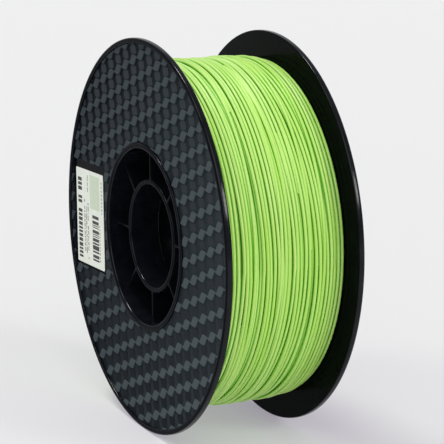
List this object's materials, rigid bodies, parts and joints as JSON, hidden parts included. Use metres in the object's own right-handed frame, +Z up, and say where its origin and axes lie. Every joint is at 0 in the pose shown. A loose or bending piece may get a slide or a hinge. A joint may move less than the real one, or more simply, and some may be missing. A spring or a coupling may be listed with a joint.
{
  "type": "filament spool",
  "caption": "Spool of plastic filament: two patterned flanges with ribbed bores, a core tube, the wound strand and a label.",
  "frame": {"origin": "centre of the spool, on its axis, midway between the two flanges", "axes": "+Y along the spool's axis from the labelled front flange to the rear flange, +Z up as the spool stands on its rims"},
  "size_m": [0.1998, 0.073, 0.1998],
  "materials": {
    "spool_plastic": "black, moulded woven pattern on the outer faces, polished bead and inner faces",
    "label_paper": "printed self-adhesive label, satin",
    "filament": "bright green extruded strand, satin"
  },
  "bodies": {
    "root": {"front_flange": "spool_plastic", "rear_flange": "spool_plastic", "core_tube": "spool_plastic", "front_bore_ring": "spool_plastic", "rear_bore_ring": "spool_plastic", "front_rib_1": "spool_plastic", "front_rib_2": "spool_plastic", "front_rib_3": "spool_plastic", "front_rib_4": "spool_plastic", "front_rib_5": "spool_plastic", "front_rib_6": "spool_plastic", "front_rib_7": "spool_plastic", "front_rib_8": "spool_plastic", "rear_rib_1": "spool_plastic", "rear_rib_2": "spool_plastic", "rear_rib_3": "spool_plastic", "rear_rib_4": "spool_plastic", "rear_rib_5": "spool_plastic", "rear_rib_6": "spool_plastic", "rear_rib_7": "spool_plastic", "rear_rib_8": "spool_plastic", "label": "label_paper", "filament_winding": "filament", "filament_tail": "filament"}
  },
  "joints": []
}
